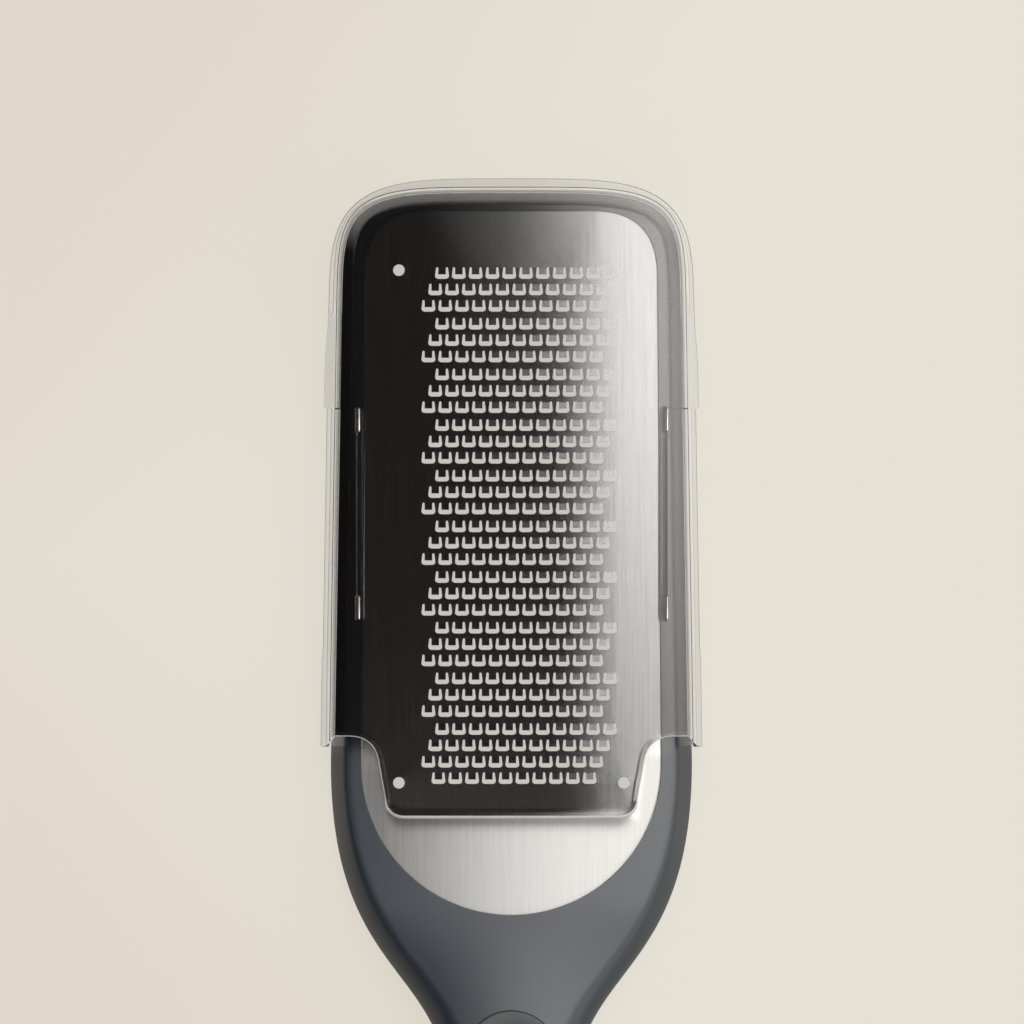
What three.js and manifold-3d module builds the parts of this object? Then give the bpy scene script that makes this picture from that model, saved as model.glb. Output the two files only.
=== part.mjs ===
// Fine hand grater: an arched, etched blade in a moulded frame that runs on into the handle,
// with a clear cover that slides over the head.
// Millimetres, +Z up, +Y from the handle to the tip of the head. The grater lies with its blade
// up, on a foot under the tip and on the flat underside of the tail.
// Plan positions are measured from the centre of the blade's round end, where y is 0.
import * as THREE from "three";
import { mergeVertices } from "three/addons/utils/BufferGeometryUtils.js";
import Module from "manifold-3d";

const wasm = await Module();
wasm.setup();

// Fits
const FIT = 0.3; // gap between pieces that touch
const COVER_FIT = 0.3; // gap between the frame and the cover that slides on it

// Blade window, the part of the blade that the frame's lip leaves open
const WINDOW_WIDTH = 63;
const WINDOW_LENGTH = 115.9; // from y = 0 to the straight end at the tip
const WINDOW_CORNER = 11.5; // radius of the two corners at the tip
const WINDOW_TAPER = 0.0075; // half-width lost for each millimetre towards the tip
const ARCH_RADIUS = 250; // crown of the frame and blade across the width

// Blade and its teeth
const BLADE_THICKNESS = 0.5;
const TOOTH_WIDTH = 3.04;
const TOOTH_HEIGHT = 2.56;
const TOOTH_LEAN = 0.18; // how much narrower each side is at the root
const TOOTH_LEG = 0.78; // slot beside the tip of the tongue
const TOOTH_BAR = 1.05; // slot in front of the tip of the tongue
const TOOTH_LIFT = 0.25; // rise of the tongue's cutting edge
const TOOTH_WEB = 0.48; // metal between teeth of one row
const ROW_WEB = 0.88; // metal between rows
const GROUP_WEB = 0.32; // more metal between groups of rows
const ROWS_PER_GROUP = 3;
const ROW_SHIFT = 1.43; // sideways step from row to row in a group
const FIELD_SIDE_MARGIN = 12.35; // from the window's side to a centred row
const FIELD_TIP_MARGIN = 11.4; // from the window's end to the first row
const FIELD_OVERRUN = 4; // how far the field may run past y = 0
const PILOT_DIAMETER = 2.7; // locating holes in the blade
const PILOT_SIDE_MARGIN = 7.9;
const PILOT_TIP_MARGIN = 12.2;
const PILOT_OVERRUN = 4;

// Frame
const LIP_OVERLAP = 1; // how far the lip covers the blade's rim
const LIP_THICKNESS = 0.8;
const RAIL_WALL = 2.2; // wall beside the blade at the top of the long sides
const TIP_WALL = 0.7; // the same at the tip
const SIDE_LEAN = 3.1; // how far the outside slopes in from bottom to top
const SIDE_TAPER = 0.0165; // half-width lost for each millimetre towards the tip
const FRAME_DEPTH = 16.3; // from the underside to the crown
const FRAME_UNDER = 0.8; // rounding of the lower edge
const FRAME_WIDEST = 1.9; // height of the widest line above the underside
const FRAME_SQUARENESS = 1.2; // exponent of the side's profile, 2 is an ellipse
const TIP_REACH = 28; // length of the rounded end
const TIP_SQUARENESS = 4.1; // exponent of the rounded end, 2 is an ellipse

// Handle
const SHOULDER_LENGTH = 72; // from y = 0 to the neck
const SHOULDER_FULLNESS = 46.3; // reach of the shoulder curve's upper tangent
const NECK_HOLLOW = 29.8; // reach of the shoulder curve's lower tangent
const NECK_WIDTH = 26;
const HANDLE_LENGTH = 95; // from the neck to the end
const GRIP_WIDTH = 29;
const TAIL_REACH = 22;
const TAIL_SQUARENESS = 2.4;
const GRIP_LEAN = 6; // how far the grip's top edge lies inside its outline
const GRIP_UNDER = 6; // rounding of the grip's underside
const GRIP_WIDEST = 9; // height of the grip's widest line
const GRIP_SQUARENESS = 2;
const GRIP_RISE = 1.7; // the grip's top above the frame's crown
const TAIL_DROP = 2.8; // the tail's top below the frame's crown
const HANDLE_WALL = 2.4;
const HANG_WIDTH = 7;
const HANG_LENGTH = 14;
const HANG_MARGIN = 6; // from the end of the tail to the hanging hole

// Handle back, which closes the hollow handle from below
const BACK_START = 46; // below y = 0
const BACK_TAIL_MARGIN = 26; // from the end of the tail to the back
const BACK_END_RADIUS = 26;
const SEAM_HEIGHT = 7.4;
const POST_DIAMETER = 6;
const POST_SPACING = 36;
const SOCKET_WALL = 1.6;
const SOCKET_HEIGHT = 6; // above the back's inner floor

// Blade retainer, the ring that presses the blade's rim up against the lip
const RETAINER_WIDTH = 2.2;
const RETAINER_HEIGHT = 5;

// Thumb pad
const PAD_DIAMETER = 20;
const PAD_DROP = 61.7; // centre below y = 0
const PAD_DEPTH = 2.4;
const PAD_RIM = 1.9;
const PAD_DISH = 1.1;
const PAD_BEVEL = 0.5;
const PAD_PROUD = 0.2;

// Tip foot
const FOOT_HEIGHT = 2; // the frame's underside above the table
const FOOT_LENGTH = 36;
const FOOT_WIDTH = 2.4;
const TENON_WIDTH = 1.2;
const TENON_HEIGHT = 2;

// Cover
const COVER_WALL = 1.7;
const COVER_HEADROOM = 2.2; // from the frame's crown to the cover's ceiling
const COVER_ARCH = 380; // radius of the ceiling across the width
const COVER_LEAN = 2;
const COVER_SQUARENESS = 1.6;
const COVER_ABOVE_TABLE = 0.4;
const COVER_UNDER = 0.4; // rounding of the wall's lower edge
const MOUTH_LINE = 5.8; // front edge of the cover above y = 0
const MOUTH_RAKE = 2; // how far the side walls run on below it
const TONGUE_LENGTH = 16.8;
const TONGUE_WIDTH = 51.6;
const TONGUE_FLARE = 3; // each side, at the root
const TONGUE_CORNER = 4.2;
const TONGUE_FILLET = 5.7;
const LEDGE_STEP = 0.6; // how far the finger ledges stand out
const COLLAR_STEP = 0.2; // the same for the mouth's collar
const STEP_RAMP = 0.3;
const LEDGE_LINE = 74.8;
const LEDGE_SHARE = 0.45; // of its way to the round end that it keeps its full height
const COLLAR_LINE = 21;
const HOOK_LENGTH = 20;
const HOOK_REACH = 3;
const HOOK_THICKNESS = 1.3;
const RIB_WIDTH = 1.1;
const RIB_LENGTH = 45;
const RIB_INSET = 0.95; // from the window's side to the middle of the rib
const RIB_START = 30;

// Steps of the curved surfaces
const SIDE_LOWER_STEPS = 2;
const SIDE_UPPER_STEPS = 4;
const TOP_STEPS = 4;
const TIP_STEPS = 8;
const SHOULDER_STEPS = 10;
const GRIP_STEPS = 5;
const TAIL_STEPS = 7;
const ARC_STEPS = 6;
const ROUND_STEPS = 24;
const POST_STEPS = 12; // round posts, sockets and small holes
const EDGE_STEPS = 110; // along the blade's outline
const FAR = 400; // further than any piece reaches
const NEAR = 1e-4; // points closer than this are one point

// Derived places
const FRAME_CROWN = FOOT_HEIGHT + FRAME_DEPTH;
const ARCH_CENTRE = FRAME_CROWN - ARCH_RADIUS;
const BLADE_RADIUS = ARCH_RADIUS - LIP_THICKNESS - FIT; // upper face of the blade
const RETAINER_RADIUS = BLADE_RADIUS - BLADE_THICKNESS - FIT;
const FRAME_HALF = WINDOW_WIDTH / 2 + LIP_OVERLAP + FIT + RAIL_WALL + SIDE_LEAN;
const TIP = WINDOW_LENGTH + LIP_OVERLAP + FIT + TIP_WALL + SIDE_LEAN;
const TIP_START = TIP - TIP_REACH;
const NECK = -SHOULDER_LENGTH;
const TAIL = NECK - HANDLE_LENGTH;
const GRIP_MIDDLE = (NECK + TAIL) / 2;
const COVER_TIP = TIP + COVER_FIT + COVER_WALL;

const lerp = THREE.MathUtils.lerp;
const archHeight = (radius, x) => ARCH_CENTRE + Math.sqrt(radius * radius - x * x);
const ease = (from, to, y) => THREE.MathUtils.smoothstep((y - from) / (to - from), 0, 1);
const windowHalf = (y) => WINDOW_WIDTH / 2 - WINDOW_TAPER * y;
const frameHalf = (y) => FRAME_HALF - SIDE_TAPER * y;

// Solids from closed geometry, with coincident vertices joined and empty triangles left out.
function solid(geometry) {
  geometry.deleteAttribute("normal");
  geometry.deleteAttribute("uv");
  const joined = mergeVertices(geometry, NEAR);
  const corners = joined.index.array;
  const triangles = [];
  for (let i = 0; i < corners.length; i += 3) {
    const [a, b, c] = corners.slice(i, i + 3);
    if (a !== b && b !== c && c !== a) {
      triangles.push(a, b, c);
    }
  }
  const vertProperties = Float32Array.from(joined.attributes.position.array);
  const triVerts = Uint32Array.from(triangles);
  return new wasm.Manifold(new wasm.Mesh({ numProp: 3, vertProperties, triVerts }));
}

function indexed(positions, triangles) {
  const geometry = new THREE.BufferGeometry();
  geometry.setAttribute("position", new THREE.Float32BufferAttribute(positions, 3));
  geometry.setIndex(triangles);
  return geometry;
}

function prism(shape, bottom, top) {
  const options = { depth: top - bottom, bevelEnabled: false, curveSegments: ARC_STEPS };
  return solid(new THREE.ExtrudeGeometry(shape, options).translate(0, 0, bottom));
}

function block(x0, x1, y0, y1, z0, z1) {
  const box = new THREE.BoxGeometry(x1 - x0, y1 - y0, z1 - z0);
  return solid(box.translate((x0 + x1) / 2, (y0 + y1) / 2, (z0 + z1) / 2));
}

function upright(radius, y, bottom, top, steps) {
  const cylinder = new THREE.CylinderGeometry(radius, radius, top - bottom, steps);
  return solid(cylinder.rotateX(Math.PI / 2).translate(0, y, (bottom + top) / 2));
}

// Everything under an arch of the given radius, along the whole part.
function underArch(radius) {
  const reach = FRAME_HALF + COVER_WALL;
  const spread = Math.asin(reach / radius);
  const shape = new THREE.Shape();
  shape.moveTo(-reach, -FAR);
  shape.lineTo(reach, -FAR);
  shape.absarc(0, ARCH_CENTRE, radius, Math.PI / 2 - spread, Math.PI / 2 + spread);
  const options = { depth: 2 * FAR, bevelEnabled: false, curveSegments: ARC_STEPS };
  return solid(new THREE.ExtrudeGeometry(shape, options).rotateX(Math.PI / 2).translate(0, FAR, 0));
}

// The window's outline, moved out by grow.
function windowShape(grow) {
  const half = WINDOW_WIDTH / 2 + grow;
  const end = WINDOW_LENGTH + grow;
  const corner = WINDOW_CORNER + grow;
  const cornerX = windowHalf(WINDOW_LENGTH) + grow - corner;
  const shape = new THREE.Shape();
  shape.absarc(0, 0, half, Math.PI, 2 * Math.PI);
  shape.absarc(cornerX, end - corner, corner, 0, Math.PI / 2);
  shape.absarc(-cornerX, end - corner, corner, Math.PI / 2, Math.PI);
  return shape;
}

// Outlines, as points of the right half from the tip towards the tail
function roundedEnd(half, start, reach, squareness, steps) {
  const points = [];
  for (let i = 0; i <= steps; i++) {
    const angle = (Math.PI / 2) * (1 - i / steps);
    const y = start + reach * Math.sin(angle) ** (2 / squareness);
    const across = i === 0 ? 0 : Math.cos(angle) ** (2 / squareness);
    points.push(new THREE.Vector2(half(y) * across, y));
  }
  return points;
}

function bodyOutline() {
  const tip = roundedEnd(frameHalf, TIP_START, TIP_REACH, TIP_SQUARENESS, TIP_STEPS);
  const shoulder = new THREE.CubicBezierCurve(
    new THREE.Vector2(FRAME_HALF, 0),
    new THREE.Vector2(FRAME_HALF, -SHOULDER_FULLNESS),
    new THREE.Vector2(NECK_WIDTH / 2, NECK + NECK_HOLLOW),
    new THREE.Vector2(NECK_WIDTH / 2, NECK),
  );
  const swell = (y) => lerp(NECK_WIDTH, GRIP_WIDTH, ease(NECK, GRIP_MIDDLE, y)) / 2;
  const grip = [];
  for (let i = 1; i < GRIP_STEPS; i++) {
    const y = lerp(NECK, TAIL + TAIL_REACH, i / GRIP_STEPS);
    grip.push(new THREE.Vector2(swell(y), y));
  }
  const tail = roundedEnd(swell, TAIL + TAIL_REACH, -TAIL_REACH, TAIL_SQUARENESS, TAIL_STEPS);
  return [...tip, ...shoulder.getPoints(SHOULDER_STEPS), ...grip, ...tail.reverse()];
}

function coverOutline(grow, sides) {
  const half = (y) => frameHalf(y) + grow;
  const tip = roundedEnd(half, TIP_START, TIP_REACH + grow, TIP_SQUARENESS, TIP_STEPS);
  const rest = sides.map(([y, step]) => new THREE.Vector2(half(y) + step, y));
  return [...tip, ...rest];
}

// One section of a moulded form: up the right side from the underside to the top edge, over the
// arched top, and down the left side. Insets run along the outline's own normal.
function section(point, normal, form) {
  const side = [];
  const place = (inset, z) => side.push([point.x - normal.x * inset, point.y - normal.y * inset, z]);
  for (let i = SIDE_LOWER_STEPS; i > 0; i--) {
    const angle = (Math.PI / 2) * (i / SIDE_LOWER_STEPS);
    place(form.under * (1 - Math.cos(angle)), form.widest - (form.widest - form.bottom) * Math.sin(angle));
  }
  const edge = form.top(point.x - normal.x * form.lean);
  for (let i = 0; i <= SIDE_UPPER_STEPS; i++) {
    const angle = (Math.PI / 2) * (i / SIDE_UPPER_STEPS);
    const power = 2 / form.squareness;
    const inset = form.lean * (1 - (i === SIDE_UPPER_STEPS ? 0 : Math.cos(angle) ** power));
    place(inset, form.widest + (edge - form.widest) * Math.sin(angle) ** power);
  }
  const [edgeX, edgeY] = side[side.length - 1];
  const over = [];
  for (let i = 1; i < TOP_STEPS; i++) {
    const x = edgeX * (1 - (2 * i) / TOP_STEPS);
    over.push([x, edgeY, form.top(x)]);
  }
  const mirrored = side.map(([x, y, z]) => [-x, y, z]).reverse();
  return [...side, ...over, ...mirrored];
}

// A moulded form: sections along an outline, joined into one closed skin.
function moulded(outline, formAt) {
  const last = outline.length - 1;
  const rings = outline.map((point, i) => {
    const before = outline[Math.max(i - 1, 0)];
    const after = outline[Math.min(i + 1, last)];
    const normal = new THREE.Vector2(before.y - after.y, after.x - before.x).normalize();
    if (Math.abs(point.x) < NEAR) {
      normal.set(0, i === 0 ? 1 : -1);
    }
    return section(point, normal, formAt(point.y));
  });
  const count = rings[0].length;
  const positions = rings.flat(2);
  const triangles = [];
  for (let i = 0; i < last; i++) {
    for (let j = 0; j < count; j++) {
      const a = i * count + j;
      const b = i * count + ((j + 1) % count);
      triangles.push(a, b, a + count, b, b + count, a + count);
    }
  }
  closeEnd(positions, triangles, rings[0], 0, true);
  closeEnd(positions, triangles, rings[last], last * count, false);
  return solid(indexed(positions, triangles));
}

// Closes an end ring with triangles to its middle, unless the ring has shrunk to the centre line.
function closeEnd(positions, triangles, ring, first, facesTip) {
  const width = Math.max(...ring.map(([x]) => x));
  if (width < NEAR) {
    return;
  }
  const middle = positions.length / 3;
  const centre = [0, 1, 2].map((axis) => ring.reduce((sum, p) => sum + p[axis], 0) / ring.length);
  positions.push(...centre);
  for (let j = 0; j < ring.length; j++) {
    const a = first + j;
    const b = first + ((j + 1) % ring.length);
    triangles.push(middle, facesTip ? b : a, facesTip ? a : b);
  }
}

// Height of the body's top along the centre line, above the frame's crown.
function rise(y) {
  const grip = GRIP_RISE * ease(NECK / 2, GRIP_MIDDLE, y);
  return grip - (GRIP_RISE + TAIL_DROP) * ease(GRIP_MIDDLE, TAIL, y);
}

// The body's section at y, with its walls moved in by wall.
function bodyForm(y, wall) {
  const handle = ease(0, NECK, y);
  return {
    bottom: FOOT_HEIGHT * (1 - ease(NECK, GRIP_MIDDLE, y)) + wall,
    widest: lerp(FOOT_HEIGHT + FRAME_WIDEST, GRIP_WIDEST, handle),
    lean: lerp(SIDE_LEAN, GRIP_LEAN, handle),
    under: lerp(FRAME_UNDER, GRIP_UNDER, handle),
    squareness: lerp(FRAME_SQUARENESS, GRIP_SQUARENESS, handle),
    top: (x) => archHeight(ARCH_RADIUS, x) + rise(y) - wall,
  };
}

const bodySkin = () => moulded(bodyOutline(), (y) => bodyForm(y, 0));

// The hollow inside the handle, from behind the shoulder to the solid tail.
function handleHollow() {
  const inside = bodyOutline().filter((p) => p.y < -BACK_START - HANDLE_WALL && p.y > hollowEnd());
  const outline = inside.map((p) => new THREE.Vector2(p.x - HANDLE_WALL, p.y));
  const cupRadius = PAD_DIAMETER / 2 + HANDLE_WALL;
  const cup = upright(cupRadius, -PAD_DROP, padFloor() - HANDLE_WALL, FAR, ROUND_STEPS);
  return moulded(outline, (y) => bodyForm(y, HANDLE_WALL)).subtract(cup);
}

const hollowEnd = () => TAIL + BACK_TAIL_MARGIN + HANDLE_WALL;
const padFloor = () => FRAME_CROWN + rise(-PAD_DROP) - PAD_DEPTH;
const postPlaces = () => [GRIP_MIDDLE + POST_SPACING / 2, GRIP_MIDDLE - POST_SPACING / 2];
const backFloor = (y) => bodyForm(y, HANDLE_WALL).bottom;

// The part of the handle below the seam, moved out by grow.
function backZone(grow) {
  const radius = BACK_END_RADIUS + grow;
  const front = -BACK_START - BACK_END_RADIUS;
  const rear = TAIL + BACK_TAIL_MARGIN + BACK_END_RADIUS;
  const shape = new THREE.Shape();
  shape.absarc(0, front, radius, 0, Math.PI);
  shape.absarc(0, rear, radius, Math.PI, 2 * Math.PI);
  return prism(shape, -FAR, SEAM_HEIGHT + grow);
}

function hangingHole() {
  const radius = HANG_WIDTH / 2;
  const low = TAIL + HANG_MARGIN + radius;
  const shape = new THREE.Shape();
  shape.absarc(0, low, radius, Math.PI, 2 * Math.PI);
  shape.absarc(0, low + HANG_LENGTH - HANG_WIDTH, radius, 0, Math.PI);
  return prism(shape, -FAR, FAR);
}

function footPlace() {
  const inner = WINDOW_LENGTH + LIP_OVERLAP + FIT;
  const outer = TIP - FRAME_UNDER;
  return (inner + outer) / 2;
}

function mainBody() {
  const rim = LIP_OVERLAP + FIT;
  const pocket = prism(windowShape(rim), -FAR, FAR).intersect(underArch(ARCH_RADIUS - LIP_THICKNESS));
  let hollow = handleHollow().add(backZone(FIT));
  for (const y of postPlaces()) {
    hollow = hollow.subtract(upright(POST_DIAMETER / 2, y, backFloor(y) + FIT, FAR, POST_STEPS));
  }
  const y = footPlace();
  const half = TENON_WIDTH / 2 + FIT;
  const end = FOOT_LENGTH / 2 + FIT;
  const groove = block(-end, end, y - half, y + half, -FAR, FOOT_HEIGHT + TENON_HEIGHT);
  return bodySkin()
    .subtract(prism(windowShape(0), -FAR, FAR))
    .subtract(pocket)
    .subtract(hollow)
    .subtract(upright(PAD_DIAMETER / 2, -PAD_DROP, padFloor(), FAR, ROUND_STEPS))
    .subtract(hangingHole())
    .subtract(groove);
}

function handleBack() {
  const radius = POST_DIAMETER / 2 + FIT;
  let hollow = handleHollow();
  for (const y of postPlaces()) {
    const top = backFloor(y) + SOCKET_HEIGHT;
    hollow = hollow.subtract(upright(radius + SOCKET_WALL, y, -FAR, top, POST_STEPS));
    hollow = hollow.add(upright(radius, y, backFloor(y), FAR, POST_STEPS));
  }
  return bodySkin().intersect(backZone(0)).subtract(hollow);
}

function thumbPad() {
  const radius = PAD_DIAMETER / 2 - FIT;
  const top = PAD_DEPTH - FIT + PAD_PROUD;
  const rim = radius - PAD_RIM;
  const profile = [
    new THREE.Vector2(0, 0),
    new THREE.Vector2(radius, 0),
    new THREE.Vector2(radius, top - PAD_BEVEL),
    new THREE.Vector2(radius - PAD_BEVEL, top),
    new THREE.Vector2(rim, top),
  ];
  for (let i = 1; i <= TOP_STEPS; i++) {
    const share = 1 - i / TOP_STEPS;
    profile.push(new THREE.Vector2(rim * share, top - PAD_DISH * (1 - share * share)));
  }
  const lathe = new THREE.LatheGeometry(profile, ROUND_STEPS).rotateX(Math.PI / 2);
  return solid(lathe.translate(0, -PAD_DROP, padFloor() + FIT));
}

function tipFoot() {
  const y = footPlace();
  const end = FOOT_LENGTH / 2;
  const top = FOOT_HEIGHT - FIT;
  const sole = block(-end, end, y - FOOT_WIDTH / 2, y + FOOT_WIDTH / 2, 0, top);
  const tenonTop = FOOT_HEIGHT + TENON_HEIGHT - FIT;
  return sole.add(block(-end, end, y - TENON_WIDTH / 2, y + TENON_WIDTH / 2, top / 2, tenonTop));
}

function bladeRetainer() {
  const bottom = archHeight(RETAINER_RADIUS, WINDOW_WIDTH / 2) - RETAINER_HEIGHT;
  return prism(windowShape(LIP_OVERLAP), bottom, FAR)
    .subtract(prism(windowShape(LIP_OVERLAP - RETAINER_WIDTH), -FAR, FAR))
    .intersect(underArch(RETAINER_RADIUS));
}

// Blade: a flat net of points and triangles, then bent to the arch and given its thickness.
function toothRows() {
  const toothPitch = TOOTH_WIDTH + TOOTH_WEB;
  const rowPitch = TOOTH_HEIGHT + ROW_WEB;
  const groupPitch = ROWS_PER_GROUP * rowPitch + GROUP_WEB;
  const firstRoot = WINDOW_LENGTH - FIELD_TIP_MARGIN;
  const fieldWidth = WINDOW_WIDTH - 2 * FIELD_SIDE_MARGIN;
  const teeth = Math.floor((fieldWidth - TOOTH_WIDTH) / toothPitch + NEAR) + 1;
  const groups = Math.floor((firstRoot + FIELD_OVERRUN) / groupPitch);
  const rows = [];
  for (let i = 0; i < groups * ROWS_PER_GROUP; i++) {
    const group = Math.floor(i / ROWS_PER_GROUP);
    const inGroup = i % ROWS_PER_GROUP;
    const root = firstRoot - group * groupPitch - inGroup * rowPitch;
    rows.push({ root, teeth, shift: (ROWS_PER_GROUP - 1 - inGroup) * ROW_SHIFT });
  }
  rows.push({ root: firstRoot - groups * groupPitch, teeth: teeth - 1, shift: 0 });
  return rows.map((row) => {
    const first = row.shift - ((row.teeth - 1) * toothPitch) / 2;
    const centres = Array.from({ length: row.teeth }, (_, i) => first + i * toothPitch);
    return { root: row.root, bottom: row.root - TOOTH_HEIGHT, centres };
  });
}

// The points of the net lie on lines across the blade, each in order of x.
function makeNet() {
  const points = [];
  const faces = [];
  const add = (x, y, lift = 0) => points.push({ x, y, lift }) - 1;
  const quad = (a, b, c, d) => faces.push([a, b, c], [a, c, d]);
  return { points, faces, add, quad };
}

// Joins two neighbouring lines with triangles, moving along them side by side. The lines may share
// their end points.
function zip(net, upper, lower) {
  const nextX = (line, i) => (i + 1 < line.length ? net.points[line[i + 1]].x : Infinity);
  const join = (a, b, c) => a !== b && b !== c && c !== a && net.faces.push([a, b, c]);
  let i = 0;
  let j = 0;
  while (i + 1 < upper.length || j + 1 < lower.length) {
    if (nextX(upper, i) < nextX(lower, j)) {
      join(upper[i], lower[j], upper[i + 1]);
      i += 1;
    } else {
      join(upper[i], lower[j], lower[j + 1]);
      j += 1;
    }
  }
}

// Adds one row: the metal beside the slots, and a lifted tongue in each slot that hangs from the
// line of the roots. The row's two lines run between the given points of the blade's sides.
function addRow(net, row, upperEnds, lowerEnds) {
  const outer = TOOTH_WIDTH / 2;
  const neck = outer - TOOTH_LEAN;
  const tip = outer - TOOTH_LEG;
  const line = (y, reach, [left, right]) => {
    const slots = row.centres.flatMap((centre) => [net.add(centre - reach, y), net.add(centre + reach, y)]);
    return [left, ...slots, right];
  };
  const upper = line(row.root, neck, upperEnds);
  const lower = line(row.bottom, outer, lowerEnds);
  for (let i = 0; i < upper.length; i += 2) {
    net.quad(upper[i], lower[i], lower[i + 1], upper[i + 1]);
  }
  row.centres.forEach((centre, i) => {
    const tipLeft = net.add(centre - tip, row.bottom + TOOTH_BAR, TOOTH_LIFT);
    const tipRight = net.add(centre + tip, row.bottom + TOOTH_BAR, TOOTH_LIFT);
    net.quad(upper[2 * i + 1], tipLeft, tipRight, upper[2 * i + 2]);
  });
  return { upper, lower };
}

function bladeNet() {
  const net = makeNet();
  const radius = WINDOW_WIDTH / 2 + LIP_OVERLAP;
  const half = (y) => (y > 0 ? windowHalf(y) + LIP_OVERLAP : Math.sqrt(radius * radius - y * y));
  const rows = toothRows();
  const top = rows[0].root;
  const bottom = rows[rows.length - 1].bottom;
  const levels = [...rows.map((row) => row.root), bottom];
  const ends = levels.map((y) => [net.add(-half(y), y), net.add(half(y), y)]);
  const lines = rows.map((row, i) => addRow(net, row, ends[i], ends[i + 1]));
  for (let i = 0; i + 1 < lines.length; i++) {
    zip(net, lines[i].lower, lines[i + 1].upper);
  }
  const outline = windowShape(LIP_OVERLAP).getSpacedPoints(EDGE_STEPS).sort((a, b) => a.x - b.x);
  const edgeLine = (points) => points.map((point) => net.add(point.x, point.y));
  zip(net, edgeLine(outline.filter((point) => point.y > top)), lines[0].upper);
  zip(net, lines[lines.length - 1].lower, edgeLine(outline.filter((point) => point.y < bottom)));
  return net;
}

function graterBlade() {
  const { points, faces } = bladeNet();
  const positions = points.flatMap(({ x, y, lift }) => {
    const z = archHeight(BLADE_RADIUS, x) + lift;
    return [x, y, z, x, y, z - BLADE_THICKNESS];
  });
  const triangles = [];
  const edges = new Set();
  for (const [a, b, c] of faces) {
    triangles.push(2 * a, 2 * b, 2 * c, 2 * c + 1, 2 * b + 1, 2 * a + 1);
    edges.add(`${a} ${b}`).add(`${b} ${c}`).add(`${c} ${a}`);
  }
  for (const edge of edges) {
    const [a, b] = edge.split(" ").map(Number);
    if (!edges.has(`${b} ${a}`)) {
      triangles.push(2 * a + 1, 2 * b + 1, 2 * b, 2 * a + 1, 2 * b, 2 * a);
    }
  }
  let blade = solid(indexed(positions, triangles));
  const pilotX = WINDOW_WIDTH / 2 - PILOT_SIDE_MARGIN;
  const pilots = [
    [-pilotX, WINDOW_LENGTH - PILOT_TIP_MARGIN],
    [-pilotX, -PILOT_OVERRUN],
    [pilotX, -PILOT_OVERRUN],
  ];
  for (const [x, y] of pilots) {
    blade = blade.subtract(upright(PILOT_DIAMETER / 2, y, -FAR, FAR, POST_STEPS).translate([x, 0, 0]));
  }
  return blade;
}

// The front edge of the cover: everything on the handle's side of the mouth and its tongue.
function mouthZone() {
  const tongue = TONGUE_WIDTH / 2;
  const root = tongue + TONGUE_FLARE;
  const tipLine = MOUTH_LINE - TONGUE_LENGTH;
  const wall = FRAME_HALF + COVER_FIT + COVER_WALL + COLLAR_STEP;
  const rail = wall - COVER_LEAN;
  const low = MOUTH_LINE - MOUTH_RAKE;
  const lean = (TONGUE_FLARE * TONGUE_FILLET) / TONGUE_LENGTH;
  const shape = new THREE.Shape();
  shape.moveTo(-FAR, -FAR);
  shape.lineTo(FAR, -FAR);
  shape.lineTo(FAR, low);
  shape.lineTo(wall, low);
  shape.lineTo(rail, MOUTH_LINE);
  shape.lineTo(root + TONGUE_FILLET, MOUTH_LINE);
  shape.quadraticCurveTo(root, MOUTH_LINE, root - lean, MOUTH_LINE - TONGUE_FILLET);
  shape.lineTo(tongue, tipLine + TONGUE_CORNER);
  shape.quadraticCurveTo(tongue, tipLine, tongue - TONGUE_CORNER, tipLine);
  shape.lineTo(TONGUE_CORNER - tongue, tipLine);
  shape.quadraticCurveTo(-tongue, tipLine, -tongue, tipLine + TONGUE_CORNER);
  shape.lineTo(lean - root, MOUTH_LINE - TONGUE_FILLET);
  shape.quadraticCurveTo(-root, MOUTH_LINE, -root - TONGUE_FILLET, MOUTH_LINE);
  shape.lineTo(-rail, MOUTH_LINE);
  shape.lineTo(-wall, low);
  shape.lineTo(-FAR, low);
  return prism(shape, -FAR, FAR);
}

function coverForm(wall, bottom, under) {
  const centre = FRAME_CROWN + COVER_HEADROOM - COVER_ARCH + wall;
  return {
    bottom,
    under,
    widest: FOOT_HEIGHT + FRAME_WIDEST,
    lean: COVER_LEAN,
    squareness: COVER_SQUARENESS,
    top: (x) => centre + Math.sqrt(COVER_ARCH * COVER_ARCH - x * x),
  };
}

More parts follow.
